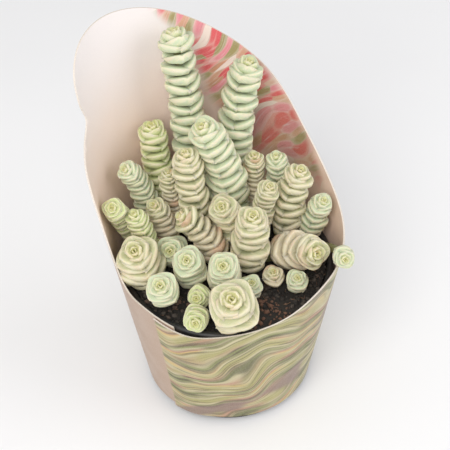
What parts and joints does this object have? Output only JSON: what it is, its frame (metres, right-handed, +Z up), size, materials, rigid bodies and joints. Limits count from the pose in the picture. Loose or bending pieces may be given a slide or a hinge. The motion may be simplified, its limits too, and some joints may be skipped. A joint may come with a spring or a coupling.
{
  "type": "potted variegated jade necklace crassula",
  "caption": "Pot of upright and leaning stems of thick stacked leaf pairs in soil, in a rolled card sleeve that rises to a tall rounded tag at the back.",
  "frame": {"origin": "centre of the pot's flat base, on the surface it stands on", "axes": "+Z up along the pot's axis, -Y to the low front of the sleeve, +Y to the tall tag, +X to the plant's right as seen from the front"},
  "size_m": [0.0893, 0.0976, 0.1415],
  "materials": {
    "pot_plastic": "black moulded plastic",
    "soil_mix": "loose dark potting mix with fibres",
    "sleeve_card": "satin printed card",
    "leaf_mint": "pale waxy green leaf with cream edge",
    "leaf_cream": "cream waxy leaf with green middle",
    "leaf_lime": "yellow-green waxy leaf",
    "leaf_blush": "cream waxy leaf with a pink flush"
  },
  "bodies": {
    "root": {"pot": "pot_plastic", "soil": "soil_mix", "sleeve": "sleeve_card", "stem_back_tall": "leaf_mint", "stem_back_right_tall": "leaf_mint", "stem_middle_tall": "leaf_mint", "stem_back_left": "leaf_lime", "stem_middle": "leaf_cream", "stem_left_leaning": "leaf_mint", "stem_thin_back": "leaf_blush", "stem_left_back": "leaf_lime", "stem_left": "leaf_lime", "stem_left_pink": "leaf_blush", "stem_leaning_pink": "leaf_blush", "stem_centre": "leaf_cream", "stem_centre_wide": "leaf_cream", "stem_right_back_small": "leaf_blush", "stem_right_back": "leaf_mint", "stem_right_bud": "leaf_cream", "stem_right_column": "leaf_blush", "stem_right_rosette": "leaf_mint", "stem_right_lying": "leaf_blush", "stem_right_outer": "leaf_mint", "stem_left_rosette": "leaf_cream", "stem_left_mint": "leaf_mint", "stem_front_mint": "leaf_mint", "stem_front_centre": "leaf_mint", "stem_left_front": "leaf_mint", "stem_front_rosette": "leaf_cream", "stem_front_small": "leaf_lime", "stem_front_bud": "leaf_lime", "stem_right_low": "leaf_blush", "stem_front_right": "leaf_mint", "stem_right_front": "leaf_mint"}
  },
  "joints": []
}
